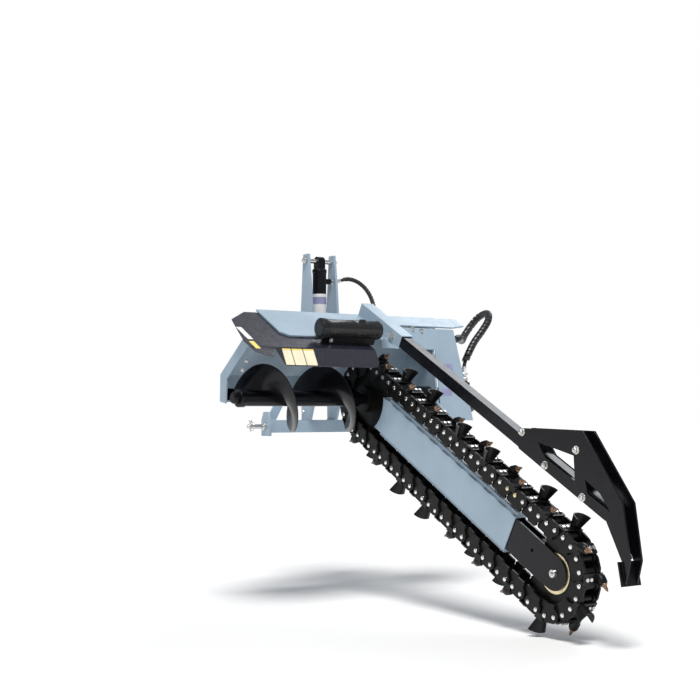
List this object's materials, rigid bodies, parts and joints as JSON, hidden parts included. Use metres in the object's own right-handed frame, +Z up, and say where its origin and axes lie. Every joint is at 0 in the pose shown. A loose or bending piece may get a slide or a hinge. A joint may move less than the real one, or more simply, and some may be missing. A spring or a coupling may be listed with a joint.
{
  "type": "trencher",
  "caption": "Chain trencher for a three-point hitch, with a tilting boom, toothed digging chain, spoil auger, crumber bar, hydraulic motor and lift cylinder.",
  "frame": {"origin": "midway between the two lower hitch pins, on their common axis", "axes": "+Z up, +Y forward towards the tractor, +X to the right as seen from behind; the boom trails to -Y and slopes down 28.2 degrees at rest"},
  "size_m": [1.574, 2.2085, 1.6195],
  "materials": {
    "frame_paint": "pale blue-grey enamel, semi-gloss, lightly worn at the edges",
    "black_paint": "black powder coat, satin",
    "chain_steel": "oiled, blackened chain steel",
    "bright_steel": "zinc plated steel",
    "hose_rubber": "black hydraulic hose cover",
    "bronze_bush": "plain bronze bush",
    "amber_lens": "amber moulded reflector"
  },
  "bodies": {
    "hitch_frame": {"mast_plate_left": "frame_paint", "mast_plate_right": "frame_paint", "top_link_clevis": "frame_paint", "hitch_beam": "frame_paint", "lower_hitch_pin_left": "bright_steel", "lower_hitch_pin_right": "bright_steel", "pivot_pin": "bright_steel", "lift_cylinder_barrel": "black_paint", "lift_cylinder_pin": "bright_steel", "lift_hose_top": "hose_rubber", "lift_hose_bottom": "hose_rubber", "coupler_plate": "frame_paint", "lift_coupler_top": "bright_steel", "lift_coupler_bottom": "bright_steel", "lift_fitting_top": "bright_steel", "lift_fitting_bottom": "bright_steel"},
    "lift_ram": {"lift_rod": "bright_steel", "lift_rod_pin": "bright_steel"},
    "head": {"pressure_hose": "hose_rubber", "return_hose": "hose_rubber", "deck": "frame_paint", "motor_guard": "frame_paint", "motor_plate": "frame_paint", "boom_arm": "black_paint", "bearing_housing": "black_paint", "auger_wall": "frame_paint", "side_reflector": "amber_lens", "auger_hood": "black_paint", "crumber_receiver": "frame_paint", "boom": "frame_paint", "nose_plate_left": "black_paint", "nose_plate_right": "black_paint", "tail_axle": "bright_steel", "take_up_cylinder": "chain_steel", "chain_upper_run": "chain_steel", "chain_lower_run": "chain_steel", "chain_head_wrap": "chain_steel", "chain_tail_wrap": "chain_steel", "hydraulic_motor": "black_paint", "pressure_fitting": "bright_steel", "return_fitting": "bright_steel", "pressure_coupler": "bright_steel", "return_coupler": "bright_steel", "coupler_bulkhead": "frame_paint", "crumber_set_bolt": "bright_steel", "canister_body": "black_paint", "canister_bracket": "black_paint", "pivot_frame": "frame_paint"},
    "drive_rotor": {"head_shaft": "bright_steel", "head_sprocket": "chain_steel", "shaft_collar": "bright_steel", "auger": "black_paint"},
    "tail_rotor": {"tail_wheel": "chain_steel", "tail_bush": "bronze_bush"},
    "crumber": {"crumber_tube": "black_paint", "crumber_plate_left": "black_paint", "crumber_plate_right": "black_paint", "crumber_foot": "black_paint", "crumber_web": "black_paint"},
    "canister_lid": {"canister_cap": "black_paint"}
  },
  "joints": [
    {"name": "boom_lift", "type": "hinge", "parent": "hitch_frame", "child": "head", "pos_m": [0, -0.11, 0.17], "axis": [1, 0, 0], "range_deg": [-30, 30]},
    {"name": "lift_ram_slide", "type": "slide", "parent": "hitch_frame", "child": "lift_ram", "axis": [0, 0, 1], "range_m": [-0.0648, 0.0648]},
    {"name": "drive_shaft_spin", "type": "hinge", "parent": "head", "child": "drive_rotor", "pos_m": [0, -0.43, 0.13], "axis": [1, 0, 0], "continuous": true},
    {"name": "tail_wheel_spin", "type": "hinge", "parent": "head", "child": "tail_rotor", "pos_m": [0, -1.68357, -0.54216], "axis": [1, 0, 0], "continuous": true},
    {"name": "crumber_slide", "type": "slide", "parent": "head", "child": "crumber", "axis": [0, -0.8813, -0.4726], "range_m": [-0.04, 0.12]},
    {"name": "canister_cap_turn", "type": "hinge", "parent": "head", "child": "canister_lid", "pos_m": [-0.4, -0.64938, 0.43334], "axis": [-1, 0, 0], "range_deg": [0, 270]}
  ],
  "couplings": [
    {"joint": "lift_ram_slide", "follows": "boom_lift", "m_per_rad": 0.1237},
    {"joint": "tail_wheel_spin", "follows": "drive_shaft_spin", "ratio": 1}
  ]
}
